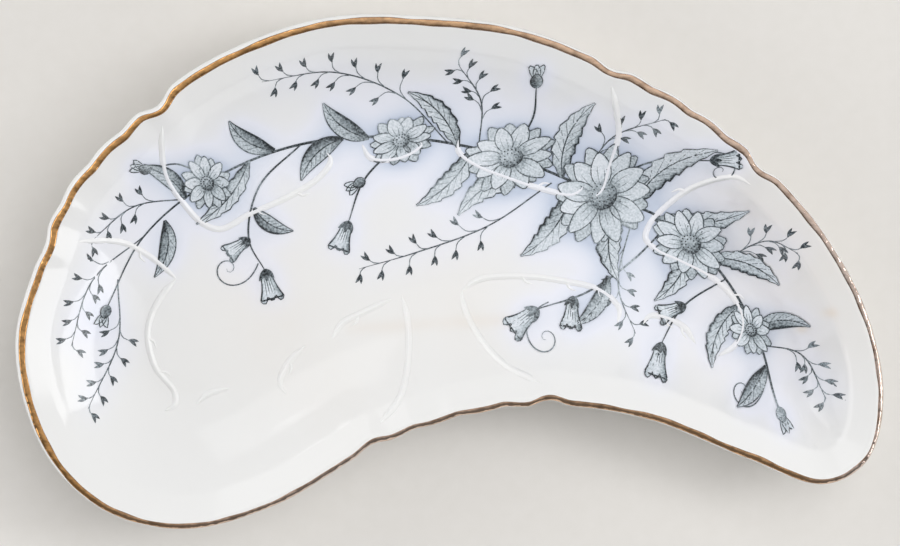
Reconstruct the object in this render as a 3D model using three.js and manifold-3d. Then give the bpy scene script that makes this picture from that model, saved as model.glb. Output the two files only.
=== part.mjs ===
// Bone dish: a crescent side dish of white earthenware that curves round the edge of a dinner plate.
// It has a pressed body with a fluted lip and moulded scrolls, a foot ring and a gilt rim.
// Millimetres, +Z up. The origin is under the middle of the dish, on the plane that it stands on.
// +X runs along the dish to its narrow tip, and +Y points to its long convex side.
import * as THREE from 'three';
import { mergeVertices } from 'three/addons/utils/BufferGeometryUtils.js';
import Module from 'manifold-3d';

// Overall size, over the lip and over the gilding
const DISH_LENGTH = 165;
const DISH_WIDTH = 96.5;
const DISH_HEIGHT = 19;

// Lip and the flared band below it
const LIP_RADIUS = 1.2;
const BAND_WIDTH = 5;
const BAND_DROP = 3;

// Wall and floor of the well
const WALL_REACH = 24;
const WALL_CURVE = 1.8;
const WALL_THICKNESS = 3;
const FLOOR_THICKNESS = 3.6;
const WELL_SHARE = 0.72;
const BASE_SHARE = 0.8;

// Flutes: lobes between soft cusps on three stretches of the rim, with a deeper notch at each end
const LOBES = 4;
const LOBE_RISE = 0.5;
const LOBE_EASE = 0.3;
const NOTCH_REACH = 4.5;
const FLUTE_FADE = 15;

// Foot ring
const FOOT_HEIGHT = 2;
const FOOT_WIDTH = 3.6;
const FOOT_INSET = 0.4;
const FOOT_ROUND = 0.6;

// Gilding: a band over the crest of the lip, drawn thicker than a film so that it is a solid
const GILT_THICKNESS = 0.25;
const GILT_INNER_ANGLE = THREE.MathUtils.degToRad(15);
const GILT_OUTER_ANGLE = THREE.MathUtils.degToRad(48);

// Moulded scrolls: raised lines on the upper face, with thorns
const SCROLL_WIDTH = 1.2;
const SCROLL_RISE = 0.28;
const SCROLL_ROOT = 0.6;
const SCROLL_SHOULDER = [0.6, 0.8];
const SCROLL_TAPER = 3;
const SCROLL_TIP = 0.4;
const THORN_LENGTH = 2.2;
const THORN_WIDTH = 0.75;
const THORN_BEND = [0.5, 0.35];
const THORN_TIP = [0.65, 1];

// Facets
const LOBE_STEPS = 6;
const PLAIN_STEPS = [34, 30, 18];
const TURN_WEIGHT = 15;
const WALL_STEPS = 7;
const UNDER_STEPS = 5;
const SCROLL_STEP = 2.2;

// Samples used to measure the curves and the upper face
const OUTLINE_SAMPLES = 80;
const RIM_SAMPLES = 3000;
const SPINE_SAMPLES = 400;
const TURN_SAMPLES = 300;
const GROUND_SAMPLES = 600;
const NORMAL_STEP = 0.5;
const WELD_DISTANCE = 1e-4;

// Crest of the lip in plan, without its flutes, clockwise from the left end
const OUTLINE = [
  [-81.5, -13.5], [-77.5, 2], [-71.5, 15.5], [-60.5, 27.2], [-46.5, 38], [-25, 45.9], [-5, 46.1],
  [11.5, 43.9], [26.5, 38.2], [46.5, 27.3], [65, 11], [77, -7.5], [81.3, -25], [78.7, -37],
  [71, -41.2], [56, -35.8], [35.5, -27.6], [12.5, -25], [-12, -30.5], [-35, -43], [-51.5, -47],
  [-66, -43.3], [-76.5, -32.5],
];

// Middle of the well, from the round lobe to the narrow tip
const SPINE = [[-50, -16], [-33, -2], [-10, 8], [12, 9.5], [34, 4], [51, -6.5], [64, -20]];

// Fluted stretches, clockwise: the notch where each starts, the notch where it ends, and their depths
const FLUTED = [
  { from: [29, 37], to: [57.5, 17.8], depths: [0.7, 0.95] },
  { from: [18, -23.8], to: [-17, -31.8], depths: [0.95, 0.65] },
  { from: [-76, 5], to: [-55, 30.5], depths: [0.45, 1.25] },
];

// Scrolls in plan, each from its root to its tip; thorns are shares of its length, on its left or right
const SCROLLS = [
  {
    line: [
      [-55, 27.5], [-55, 24], [-54, 17.5], [-51, 12.5], [-47, 8], [-43.5, 6.8], [-38, 9.5], [-30, 13],
      [-24.5, 16.5], [-22.5, 19.5], [-23.5, 21.5],
    ],
    right: [0.64, 0.79],
  },
  {
    line: [[-16.5, 22.5], [-15, 20], [-11.5, 19.5], [-7.5, 20.5], [-5, 22.5], [-6.5, 23]],
    left: [0.45],
  },
  {
    line: [[2, 24], [2, 21], [5, 18.5], [11, 16], [18.5, 13.5], [24, 12.5], [26, 14], [25, 15]],
    left: [0.25, 0.4, 0.66],
  },
  {
    line: [[29.5, 34], [31, 29], [32, 24.5], [31, 18.5], [29.5, 13], [27, 11.5]],
    left: [0.55],
  },
  {
    line: [
      [56.5, 15], [53.5, 16.5], [47.5, 14.5], [42.5, 10.5], [39, 6.5], [38.3, 3.8], [40.5, 1.6], [45, -0.5],
      [51.5, -4], [56, -8.5], [57.5, -13], [56, -17], [52.5, -19],
    ],
    left: [0.62, 0.76, 0.89],
    right: [0.21],
  },
  {
    line: [[37.5, -12.5], [39, -11], [42.5, -11.5], [46, -13.5], [48, -16.5]],
    right: [0.4, 0.7],
  },
  {
    line: [[16.5, -22], [9.5, -18.5], [5.5, -14], [3, -9], [2.5, -5.5]],
  },
  {
    line: [[2.5, -5.5], [6, -3.5], [14, -3], [22, -4], [29.5, -6], [33, -9.5], [32.5, -12]],
    right: [0.35, 0.6, 0.78],
  },
  {
    line: [[-14.5, -29], [-10.5, -24.5], [-8.5, -18.5], [-8, -11], [-9, -6.5]],
  },
  {
    line: [[-11, -7], [-16.5, -9.5], [-20.5, -11.5], [-22.5, -14.5]],
    left: [0.5],
  },
  {
    line: [[-27.5, -15.5], [-31, -19], [-32.5, -22.5], [-31.5, -24.5]],
    left: [0.4],
  },
  {
    line: [[-71, 6], [-62.5, 5], [-56.5, 1.5], [-52, -2.5]],
    right: [0.6],
  },
  {
    line: [
      [-52, -2.5], [-54.6, -5.5], [-56.8, -9.5], [-57.5, -13.5], [-56, -19.5], [-52.5, -24], [-52.5, -26.5],
      [-54.5, -27.5],
    ],
    left: [0.45, 0.68],
  },
  {
    line: [[-48.5, -26.5], [-46, -24.5], [-42, -23.5]],
  },
];

// Heights that follow from the sizes
const LIP_CREST = DISH_HEIGHT - GILT_THICKNESS;
const CREASE_HEIGHT = LIP_CREST - BAND_DROP;
const FLOOR_TOP = FOOT_HEIGHT + FLOOR_THICKNESS;
const BAND_SLOPE = Math.atan2(BAND_DROP, BAND_WIDTH);

const wasm = await Module();
wasm.setup();

// The drawn outline, stretched to the overall length and width and centred on the origin
const drawnOutline = new THREE.CatmullRomCurve3(OUTLINE.map(([x, y]) => new THREE.Vector3(x, y, 0)), true);
const drawnBox = new THREE.Box3().setFromPoints(drawnOutline.getPoints(OUTLINE.length * OUTLINE_SAMPLES));
const drawnSize = drawnBox.getSize(new THREE.Vector3());
const drawnMiddle = drawnBox.getCenter(new THREE.Vector3());
const fit = new THREE.Vector3(
  (DISH_LENGTH - 2 * LIP_RADIUS) / drawnSize.x,
  (DISH_WIDTH - 2 * LIP_RADIUS) / drawnSize.y,
  1,
);

function placed(point) {
  return point.sub(drawnMiddle).multiply(fit);
}

function placedLine(points) {
  return new THREE.CatmullRomCurve3(points.map(([x, y]) => placed(new THREE.Vector3(x, y, 0))));
}

class RimLine extends THREE.Curve {
  getPoint(t, target = new THREE.Vector3()) {
    return placed(drawnOutline.getPoint(t, target));
  }
}

const rim = new RimLine();
rim.arcLengthDivisions = RIM_SAMPLES;
const rimLength = rim.getLength();
const spinePoints = placedLine(SPINE).getPoints(SPINE_SAMPLES);

// Share of the way round the rim that is nearest to a drawn point
function rimShare([x, y]) {
  const point = placed(new THREE.Vector3(x, y, 0));
  let best = 0;
  let nearest = Infinity;
  for (let i = 0; i < RIM_SAMPLES; i += 1) {
    const share = i / RIM_SAMPLES;
    const distance = rim.getPointAt(share).distanceTo(point);
    if (distance < nearest) {
      nearest = distance;
      best = share;
    }
  }
  return best;
}

// Stretches in clockwise order: each fluted one, then the plain one up to the next notch
const notches = FLUTED.map(({ from, to, depths }) => ({ start: rimShare(from), end: rimShare(to), depths }));
const stretches = notches.flatMap(({ start, end, depths }, i) => {
  const next = notches[(i + 1) % notches.length];
  return [
    { start, span: (end - start + 1) % 1, fluted: true, depths },
    {
      start: end,
      span: (next.start - end + 1) % 1,
      fluted: false,
      depths: [depths[1], next.depths[0]],
      steps: PLAIN_STEPS[i],
    },
  ];
});

// How far the rim stands out from its smooth line, at a share of one stretch: an eased |sine| for the lobes,
// sunk by a cosine-shaped dip at each notch
function flute({ span, fluted, depths }, share) {
  const fromNotch = Math.min(share, 1 - share) * span * rimLength;
  const dip = Math.cos(Math.PI / 2 * Math.min(1, fromNotch / NOTCH_REACH)) ** 2;
  const swing = Math.hypot(Math.sin(Math.PI * LOBES * share), LOBE_EASE) - 2 / Math.PI;
  const lobe = fluted ? LOBE_RISE * swing : 0;
  const depth = depths[Math.round(share)];
  return lobe * (1 - dip) - depth * dip;
}

// One line from the lip to the middle of the well, square to the rim as far as the crease
function column(stretch, share) {
  const at = (stretch.start + share * stretch.span) % 1;
  const crest = rim.getPointAt(at);
  const tangent = rim.getTangentAt(at);
  const outward = new THREE.Vector3(-tangent.y, tangent.x, 0);
  const crease = crest.clone().addScaledVector(outward, -BAND_WIDTH);
  const away = (point) => point.distanceToSquared(crease);
  const middle = spinePoints.reduce((a, b) => (away(b) < away(a) ? b : a));
  const inward = middle.clone().sub(crease);
  const room = inward.length();
  const reach = BAND_WIDTH + Math.min(WALL_REACH - BAND_WIDTH, WELL_SHARE * room);
  return { crest, outward, crease, inward: inward.normalize(), room, reach, wave: flute(stretch, share) };
}

// Shares of a plain stretch, closer together where the rim turns faster
function plainShares({ start, span, steps }) {
  const travelled = [0];
  for (let i = 1; i <= TURN_SAMPLES; i += 1) {
    const before = rim.getTangentAt((start + span * (i - 1) / TURN_SAMPLES) % 1);
    const after = rim.getTangentAt((start + span * i / TURN_SAMPLES) % 1);
    travelled.push(travelled[i - 1] + span * rimLength / TURN_SAMPLES + TURN_WEIGHT * before.angleTo(after));
  }
  return Array.from({ length: steps }, (_, k) => {
    const wanted = travelled[TURN_SAMPLES] * k / steps;
    const next = Math.max(1, travelled.findIndex((value) => value > wanted));
    const part = (wanted - travelled[next - 1]) / (travelled[next] - travelled[next - 1]);
    return (next - 1 + part) / TURN_SAMPLES;
  });
}

const columns = stretches.flatMap((s) => {
  const lobeShares = Array.from({ length: LOBES * LOBE_STEPS }, (_, k) => k / (LOBES * LOBE_STEPS));
  return (s.fluted ? lobeShares : plainShares(s)).map((share) => column(s, share));
});

// Flute left at a distance inside the crest: it dies out towards the floor
function fluteAt(wave, inset) {
  return wave * Math.max(0, 1 - Math.max(inset, 0) / FLUTE_FADE) ** 2;
}

// A point on a column, at a distance inside the crest and a height
function onColumn(col, inset, z) {
  const flare = Math.min(inset, BAND_WIDTH);
  const run = Math.max(inset - BAND_WIDTH, 0);
  return col.crest.clone()
    .addScaledVector(col.outward, fluteAt(col.wave, inset) - flare)
    .addScaledVector(col.inward, run)
    .setZ(z);
}

// Upper face at a share of the wall from crease to floor: inset, height and slope angle
function wallAt(col, share) {
  const run = col.reach - BAND_WIDTH;
  const fall = CREASE_HEIGHT - FLOOR_TOP;
  return {
    inset: BAND_WIDTH + run * share,
    z: FLOOR_TOP + fall * (1 - share) ** WALL_CURVE,
    slope: Math.atan(fall * WALL_CURVE * (1 - share) ** (WALL_CURVE - 1) / run),
  };
}

// Lip angles from the inside of the band, over the crest, to the underside; 0 is straight up
const giltAngles = [GILT_INNER_ANGLE, 0, -GILT_OUTER_ANGLE / 2, -GILT_OUTER_ANGLE];
const lipAngles = [BAND_SLOPE, ...giltAngles, -Math.PI / 2, -Math.PI * 2 / 3, BAND_SLOPE - Math.PI];

function onLip(col, angle, radius = LIP_RADIUS) {
  return onColumn(col, radius * Math.sin(angle), LIP_CREST - LIP_RADIUS + radius * Math.cos(angle));
}

// Thickness of the wall where its underside comes down to the flat base, and where that is
function baseThickness(col) {
  const { z, slope } = wallAt(col, BASE_SHARE);
  return (z - FOOT_HEIGHT) / Math.cos(slope);
}

function baseInset(col) {
  const { inset, slope } = wallAt(col, BASE_SHARE);
  return inset - baseThickness(col) * Math.sin(slope);
}

// Section of the body along one column, from the floor up the wall, over the lip and down to the base
function bodySection(col) {
  const upper = Array.from({ length: WALL_STEPS + 1 }, (_, k) => {
    const { inset, z } = wallAt(col, 1 - k / WALL_STEPS);
    return onColumn(col, inset, z);
  });
  const lip = lipAngles.map((angle) => onLip(col, angle));
  const under = Array.from({ length: UNDER_STEPS }, (_, k) => {
    const share = BASE_SHARE * k / UNDER_STEPS;
    const { inset, z, slope } = wallAt(col, share);
    const thickness = THREE.MathUtils.lerp(WALL_THICKNESS, baseThickness(col), (k / UNDER_STEPS) ** 2);
    return onColumn(col, inset - thickness * Math.sin(slope), z - thickness * Math.cos(slope));
  });
  return [...upper, ...lip, ...under, onColumn(col, baseInset(col), FOOT_HEIGHT)];
}

// Gilt section: the lip's own surface below, the same arc one film higher above
function giltSection(col) {
  const below = giltAngles.map((angle) => onLip(col, angle));
  const above = giltAngles.map((angle) => onLip(col, angle, LIP_RADIUS + GILT_THICKNESS));
  return [...below, ...above.reverse()];
}

// Foot section: straight sides, rounded off to a flat standing edge
function footSection(col) {
  const outer = baseInset(col) + FOOT_INSET;
  const inner = outer + FOOT_WIDTH;
  return [
    [outer, FOOT_HEIGHT],
    [outer, FOOT_ROUND],
    [outer + FOOT_ROUND, 0],
    [inner - FOOT_ROUND, 0],
    [inner, FOOT_ROUND],
    [inner, FOOT_HEIGHT],
  ].map(([inset, z]) => onColumn(col, inset, z));
}

// Triangles between neighbouring sections, all the way round. Both sides of a seam use the same diagonal
function skin(sections, { closedSection, facesIn }) {
  const points = sections[0].length;
  const triangles = [];
  for (let i = 0; i < sections.length; i += 1) {
    const next = (i + 1) % sections.length;
    for (let j = 0; j < (closedSection ? points : points - 1); j += 1) {
      const up = (j + 1) % points;
      const [a, b] = [i * points + j, next * points + j];
      const [c, d] = [next * points + up, i * points + up];
      triangles.push(...(facesIn ? [a, c, b, a, d, c] : [a, b, c, a, c, d]));
    }
  }
  return triangles;
}

// Triangles of a flat face inside one ring of the sections
function flatFace(sections, ring, faceUp) {
  const points = sections[0].length;
  const order = sections.map((_, i) => i).reverse();
  const contour = order.map((i) => new THREE.Vector2(sections[i][ring].x, sections[i][ring].y));
  return THREE.ShapeUtils.triangulateShape(contour, []).flatMap(([a, b, c]) => {
    const [p, q, r] = [a, b, c].map((k) => order[k] * points + ring);
    return faceUp ? [p, q, r] : [p, r, q];
  });
}

function surface(sections, triangles) {
  const geometry = new THREE.BufferGeometry().setFromPoints(sections.flat());
  geometry.setIndex(triangles);
  return geometry;
}

function solid(geometry) {
  geometry.deleteAttribute('normal');
  geometry.deleteAttribute('uv');
  const merged = mergeVertices(geometry, WELD_DISTANCE);
  return new wasm.Manifold(new wasm.Mesh({
    numProp: 3,
    vertProperties: new Float32Array(merged.attributes.position.array),
    triVerts: new Uint32Array(merged.index.array),
  }));
}

function fromSolid(shape) {
  const mesh = shape.getMesh();
  const geometry = new THREE.BufferGeometry();
  geometry.setAttribute('position', new THREE.BufferAttribute(mesh.vertProperties, mesh.numProp));
  geometry.setIndex(new THREE.BufferAttribute(mesh.triVerts, 1));
  geometry.computeVertexNormals();
  return geometry;
}

// Closely spaced columns that give the height of the upper face under any plan point
const ground = stretches.flatMap((s) => {
  const count = Math.round(GROUND_SAMPLES * s.span);
  return Array.from({ length: count }, (_, k) => column(s, k / count));
});

function groundHeight(point) {
  let nearest = Infinity;
  let inset = 0;
  let col = ground[0];
  for (const candidate of ground) {
    const { crest, outward, crease, inward, room } = candidate;
    const flare = THREE.MathUtils.clamp(crest.clone().sub(point).dot(outward), 0, BAND_WIDTH);
    const run = THREE.MathUtils.clamp(point.clone().sub(crease).dot(inward), 0, room);
    const offBand = crest.clone().addScaledVector(outward, -flare).distanceTo(point);
    const offWall = crease.clone().addScaledVector(inward, run).distanceTo(point);
    if (Math.min(offBand, offWall) < nearest) {
      nearest = Math.min(offBand, offWall);
      inset = offBand < offWall ? flare : BAND_WIDTH + run;
      col = candidate;
    }
  }
  const level = inset + fluteAt(col.wave, inset);
  if (level < BAND_WIDTH) return LIP_CREST - BAND_DROP * level / BAND_WIDTH;
  return wallAt(col, Math.min(1, (level - BAND_WIDTH) / (col.reach - BAND_WIDTH))).z;
}

function onGround(point) {
  return point.clone().setZ(groundHeight(point));
}

function groundNormal(point) {
  const height = (x, y) => groundHeight(new THREE.Vector3(point.x + x, point.y + y, 0));
  const fallX = height(-NORMAL_STEP, 0) - height(NORMAL_STEP, 0);
  const fallY = height(0, -NORMAL_STEP) - height(0, NORMAL_STEP);
  return new THREE.Vector3(fallX, fallY, 2 * NORMAL_STEP).normalize();
}

// A raised line along a plan curve: a rounded section that is rooted in the body and tapers to its ends
function raisedLine(curve, width, tailOnly = false) {
  const length = curve.getLength();
  const steps = Math.max(3, Math.round(length / SCROLL_STEP));
  const sections = Array.from({ length: steps + 1 }, (_, k) => {
    const share = k / steps;
    const flat = curve.getPointAt(share).setZ(0);
    const up = groundNormal(flat);
    const along = curve.getTangentAt(share).setZ(0);
    const side = new THREE.Vector3().crossVectors(along, up).normalize();
    const toEnd = length * (tailOnly ? 1 - share : Math.min(share, 1 - share));
    const size = SCROLL_TIP + (1 - SCROLL_TIP) * Math.min(1, toEnd / SCROLL_TAPER);
    const half = width * size / 2;
    const rise = SCROLL_RISE * size;
    const shoulder = [half * SCROLL_SHOULDER[0], rise * SCROLL_SHOULDER[1]];
    const centre = onGround(flat);
    return [
      [-half, -SCROLL_ROOT],
      [half, -SCROLL_ROOT],
      shoulder,
      [0, rise],
      [-shoulder[0], shoulder[1]],
    ].map(([across, lift]) => centre.clone().addScaledVector(side, across).addScaledVector(up, lift));
  });
  const points = sections[0].length;
  const last = steps * points;
  const triangles = [];
  for (let i = 0; i < steps; i += 1) {
    for (let j = 0; j < points; j += 1) {
      const up = (j + 1) % points;
      const [a, b] = [i * points + j, (i + 1) * points + j];
      const [c, d] = [(i + 1) * points + up, i * points + up];
      triangles.push(a, b, c, a, c, d);
    }
  }
  for (let j = 1; j < points - 1; j += 1) {
    triangles.push(0, j, j + 1, last, last + j + 1, last + j);
  }
  return solid(surface(sections, triangles));
}

// A thorn leaves its scroll at a slant and bends along with it
function thorn(curve, share, hand) {
  const root = curve.getPointAt(share);
  const along = curve.getTangentAt(share);
  const across = new THREE.Vector3(-along.y, along.x, 0).multiplyScalar(hand);
  const from = ([aside, ahead]) => root.clone()
    .addScaledVector(across, THORN_LENGTH * aside)
    .addScaledVector(along, THORN_LENGTH * ahead);
  return raisedLine(new THREE.CatmullRomCurve3([root, from(THORN_BEND), from(THORN_TIP)]), THORN_WIDTH, true);
}

function scroll({ line, left = [], right = [] }) {
  const curve = placedLine(line);
  const thorns = [
    ...left.map((share) => thorn(curve, share, 1)),
    ...right.map((share) => thorn(curve, share, -1)),
  ];
  return thorns.reduce((shape, piece) => shape.add(piece), raisedLine(curve, SCROLL_WIDTH));
}

function dishBody() {
  const sections = columns.map(bodySection);
  const base = sections[0].length - 1;
  const triangles = [
    ...skin(sections, { closedSection: false, facesIn: false }),
    ...flatFace(sections, 0, true),
    ...flatFace(sections, base, false),
  ];
  const pressed = solid(surface(sections, triangles));
  return fromSolid(SCROLLS.map(scroll).reduce((shape, piece) => shape.add(piece), pressed));
}

function ringOf(sections, facesIn) {
  const geometry = surface(sections, skin(sections, { closedSection: true, facesIn }));
  geometry.computeVertexNormals();
  return geometry;
}

const glazedWare = new THREE.MeshStandardMaterial({ color: 0xecebea, roughness: 0.15, metalness: 0 });
const bareWare = new THREE.MeshStandardMaterial({ color: 0xd8cfbe, roughness: 0.7, metalness: 0 });
const gold = new THREE.MeshStandardMaterial({ color: 0xb08b58, roughness: 0.35, metalness: 1 });

function piece(name, geometry, material) {
  const mesh = new THREE.Mesh(geometry, material);
  mesh.name = name;
  return mesh;
}

const boneDish = new THREE.Group();
boneDish.add(
  piece('dish_body', dishBody(), glazedWare),
  piece('foot_ring', ringOf(columns.filter((_, i) => i % 2 === 0).map(footSection), false), bareWare),
  piece('gilt_rim', ringOf(columns.map(giltSection), true), gold),
);

export default boneDish;
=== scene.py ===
"""Looks of a bone dish: a crescent side dish of white earthenware with a fluted gilt lip and a grey print.

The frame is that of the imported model: +X along the dish, +Y to its convex side, +Z up, with the foot on
z = 0. Lengths are in millimetres until a mesh is made, apart from those of the stage and the lamps.
"""
import math

import bpy
import numpy as np
from mathutils import Matrix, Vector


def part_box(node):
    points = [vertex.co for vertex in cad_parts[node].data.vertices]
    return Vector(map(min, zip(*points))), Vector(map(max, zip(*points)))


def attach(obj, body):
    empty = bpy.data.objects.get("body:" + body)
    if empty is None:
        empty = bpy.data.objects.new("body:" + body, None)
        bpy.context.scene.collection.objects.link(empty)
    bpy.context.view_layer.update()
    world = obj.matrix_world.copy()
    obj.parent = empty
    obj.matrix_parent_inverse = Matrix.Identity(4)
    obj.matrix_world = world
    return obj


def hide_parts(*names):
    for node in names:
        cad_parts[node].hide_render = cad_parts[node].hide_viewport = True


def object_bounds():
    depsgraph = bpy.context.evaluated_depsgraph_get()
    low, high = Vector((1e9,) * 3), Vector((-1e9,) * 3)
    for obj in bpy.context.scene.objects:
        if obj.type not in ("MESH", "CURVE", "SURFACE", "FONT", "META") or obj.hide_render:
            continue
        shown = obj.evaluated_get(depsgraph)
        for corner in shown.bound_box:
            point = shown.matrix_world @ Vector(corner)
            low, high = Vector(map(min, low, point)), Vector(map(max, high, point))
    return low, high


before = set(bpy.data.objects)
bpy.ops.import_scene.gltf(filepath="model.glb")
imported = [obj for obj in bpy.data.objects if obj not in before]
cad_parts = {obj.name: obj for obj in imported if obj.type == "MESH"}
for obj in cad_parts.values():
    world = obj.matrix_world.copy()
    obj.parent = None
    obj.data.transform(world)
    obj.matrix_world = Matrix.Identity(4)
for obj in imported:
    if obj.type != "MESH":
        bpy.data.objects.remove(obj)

METRES = 0.001
CAD_BOX = [[float(v) for v in corner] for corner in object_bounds()]

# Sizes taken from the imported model
LOW, HIGH = (np.array(corner) / METRES for corner in CAD_BOX)
DISH_LENGTH, DISH_WIDTH = (HIGH - LOW)[:2]
LIP_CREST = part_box("dish_body")[1].z / METRES
FOOT_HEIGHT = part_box("foot_ring")[1].z / METRES

# Lip, band, wall and floor. The wall takes at most WELL_SHARE of the way to the spine,
# and its underside comes down to the base at BASE_SHARE of the wall.
LIP_RADIUS = 1.2
BAND_WIDTH = 5.0
BAND_DROP = 3.0
WALL_REACH = 24.0
WALL_CURVE = 1.8
WALL_THICKNESS = 3.0
FLOOR_THICKNESS = 3.6
WELL_SHARE = 0.72
BASE_SHARE = 0.8
CREASE_EASE = 0.7
FLOOR_SAG = 0.25

# Flutes: lobes in a stretch, their rise and easing, the reach of a notch, and how far in they fade out
LOBES = 4
LOBE_RISE = 0.5
LOBE_EASE = 0.3
NOTCH_REACH = 4.5
FLUTE_FADE = 15.0

# Foot ring
FOOT_WIDTH = 3.6
FOOT_INSET = 0.4
FOOT_ROUND = 0.6

# Gilding: how thick it lies, where its arc ends on the round of the lip, and how far it drifts inwards
# where the rim faces a direction
GILT_RISE = 0.07
GILT_INNER_ANGLE = math.radians(15)
GILT_OUTER_ANGLE = math.radians(48)
GILT_DRIFT = math.radians(20)
DRIFT_SIDE = np.array([-math.sqrt(0.5), math.sqrt(0.5)])

# Waves of its edges: number round the rim, swing and start in radians
EDGE_WAVES = [(23, 0.05, 1), (41, 0.04, 0), (67, 0.03, 2)]

# Painted sheen on the gold: the side it is palest on, facing the right-hand lamps, the mean, and its swing
# between the two sides
SHEEN_SIDE = np.array([1, -0.2])
SHEEN_MEAN = 0.42
SHEEN_SWING = 0.75

# Glaze: its tints end at a depth below the upper face, and a share of them shows on the raised lines
GLAZE_IOR = 1.58
TINT_DEPTH = 1.5
SCROLL_FLOW = 0.15
SCROLL_STAIN = 0.5

# Stains of use in plan: both ends of a streak, which are one place for a spot, its reach and strength
STAINS = [
    ((66, -6), (66, -6), 13, 0.36),
    ((56, 9), (56, 9), 9, 0.18),
    ((-30, -12), (-30, -12), 13, 0.22),
    ((2, -8), (2, -8), 9, 0.18),
    ((-18.7, -12.4), (10.8, -10.9), 0.9, 0.28),
    ((60.5, -2), (60.5, -2), 0.9, 0.8),
    ((72.5, -9.7), (72.5, -9.7), 0.8, 0.7),
    ((68.6, -13.7), (68.6, -13.7), 0.8, 0.6),
]

# Moulded scrolls and thorns: their sections, the depth of their roots, and the taper of their ends
SCROLL_WIDTH = 1.2
SCROLL_RISE = 0.28
SCROLL_ROOT = 0.27
SCROLL_TAPER = 3.0
SCROLL_TIP = 0.08
THORN_LENGTH = 2.2
THORN_WIDTH = 0.75
THORN_RISE = 0.8 * SCROLL_RISE

# Mesh fineness: samples, steps in millimetres, parts of the height map, rings of points on each stretch,
# and how far the last ring lies on the way to the spine
RIM_SAMPLES = 2760
SPINE_SAMPLES = 131
COLUMNS = 800
MAP_STEP = 0.5
MAP_PARTS = 160
EASE_SAMPLES = 7
SCROLL_STEP = 0.45
FLOOR_RINGS = 10
WALL_RINGS = 34
BAND_RINGS = 11
LIP_RINGS = 15
UNDER_RINGS = 20
BASE_RINGS = 7
LAST_RING = 0.92

# Crest of the lip in plan, without its flutes, clockwise from the left end
OUTLINE = [
    (-81.5, -13.5), (-77.5, 2), (-71.5, 15.5), (-60.5, 27.2), (-46.5, 38), (-25, 45.9), (-5, 46.1),
    (11.5, 43.9), (26.5, 38.2), (46.5, 27.3), (65, 11), (77, -7.5), (81.3, -25), (78.7, -37),
    (71, -41.2), (56, -35.8), (35.5, -27.6), (12.5, -25), (-12, -30.5), (-35, -43), (-51.5, -47),
    (-66, -43.3), (-76.5, -32.5),
]
SPINE = [(-50, -16), (-33, -2), (-10, 8), (12, 9.5), (34, 4), (51, -6.5), (64, -20)]

# Fluted stretches, clockwise: first notch, last notch and the depth of each
FLUTED = [
    ((29, 37), (57.5, 17.8), (0.7, 0.95)),
    ((18, -23.8), (-17, -31.8), (0.95, 0.65)),
    ((-76, 5), (-55, 30.5), (0.45, 1.25)),
]

# Scrolls in plan, each from its root to its tip, with the shares of its length that carry a thorn
SCROLLS = [
    dict(line=[(-55, 27.5), (-55, 24), (-54, 17.5), (-51, 12.5), (-47, 8), (-43.5, 6.8), (-38, 9.5),
               (-30, 13), (-24.5, 16.5), (-22.5, 19.5), (-23.5, 21.5)], right=[0.64, 0.79]),
    dict(line=[(-16.5, 22.5), (-15, 20), (-11.5, 19.5), (-7.5, 20.5), (-5, 22.5), (-6.5, 23)],
         left=[0.45]),
    dict(line=[(2, 24), (2, 21), (5, 18.5), (11, 16), (18.5, 13.5), (24, 12.5), (26, 14), (25, 15)],
         left=[0.25, 0.4, 0.66]),
    dict(line=[(29.5, 34), (31, 29), (32, 24.5), (31, 18.5), (29.5, 13), (27, 11.5)], left=[0.55]),
    dict(line=[(56.5, 15), (53.5, 16.5), (47.5, 14.5), (42.5, 10.5), (39, 6.5), (38.3, 3.8), (40.5, 1.6),
               (45, -0.5), (51.5, -4), (56, -8.5), (57.5, -13), (56, -17), (52.5, -19)],
         left=[0.62, 0.76, 0.89], right=[0.21]),
    dict(line=[(37.5, -12.5), (39, -11), (42.5, -11.5), (46, -13.5), (48, -16.5)], right=[0.4, 0.7]),
    dict(line=[(16.5, -22), (9.5, -18.5), (5.5, -14), (3, -9), (2.5, -5.5)]),
    dict(line=[(2.5, -5.5), (6, -3.5), (14, -3), (22, -4), (29.5, -6), (33, -9.5), (32.5, -12)],
         right=[0.35, 0.6, 0.78]),
    dict(line=[(-14.5, -29), (-10.5, -24.5), (-8.5, -18.5), (-8, -11), (-9, -6.5)]),
    dict(line=[(-11, -7), (-16.5, -9.5), (-20.5, -11.5), (-22.5, -14.5)], left=[0.5]),
    dict(line=[(-27.5, -15.5), (-31, -19), (-32.5, -22.5), (-31.5, -24.5)], left=[0.4]),
    dict(line=[(-71, 6), (-62.5, 5), (-56.5, 1.5), (-52, -2.5)], right=[0.6]),
    dict(line=[(-52, -2.5), (-54.6, -5.5), (-56.8, -9.5), (-57.5, -13.5), (-56, -19.5), (-52.5, -24),
               (-52.5, -26.5), (-54.5, -27.5)], left=[0.45, 0.68]),
    dict(line=[(-48.5, -26.5), (-46, -24.5), (-42, -23.5)]),
]

# Ink film: its lift off the glaze, and the steps between motifs, between petals and between lines
INK_LIFT = 0.025
LAYER_STEP = 0.012
LINE_STEP = 0.002
PETAL_STEP = 3 * LINE_STEP
STROKE_STEP = 0.6

# Flow of the ink into the glaze: shares and widths of its bell curves, and its contrast
FLOW_SPREAD = [(1.2, 2.2), (0.7, 5.5), (0.15, 13)]
FLOW_CONTRAST = 1.4

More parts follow.
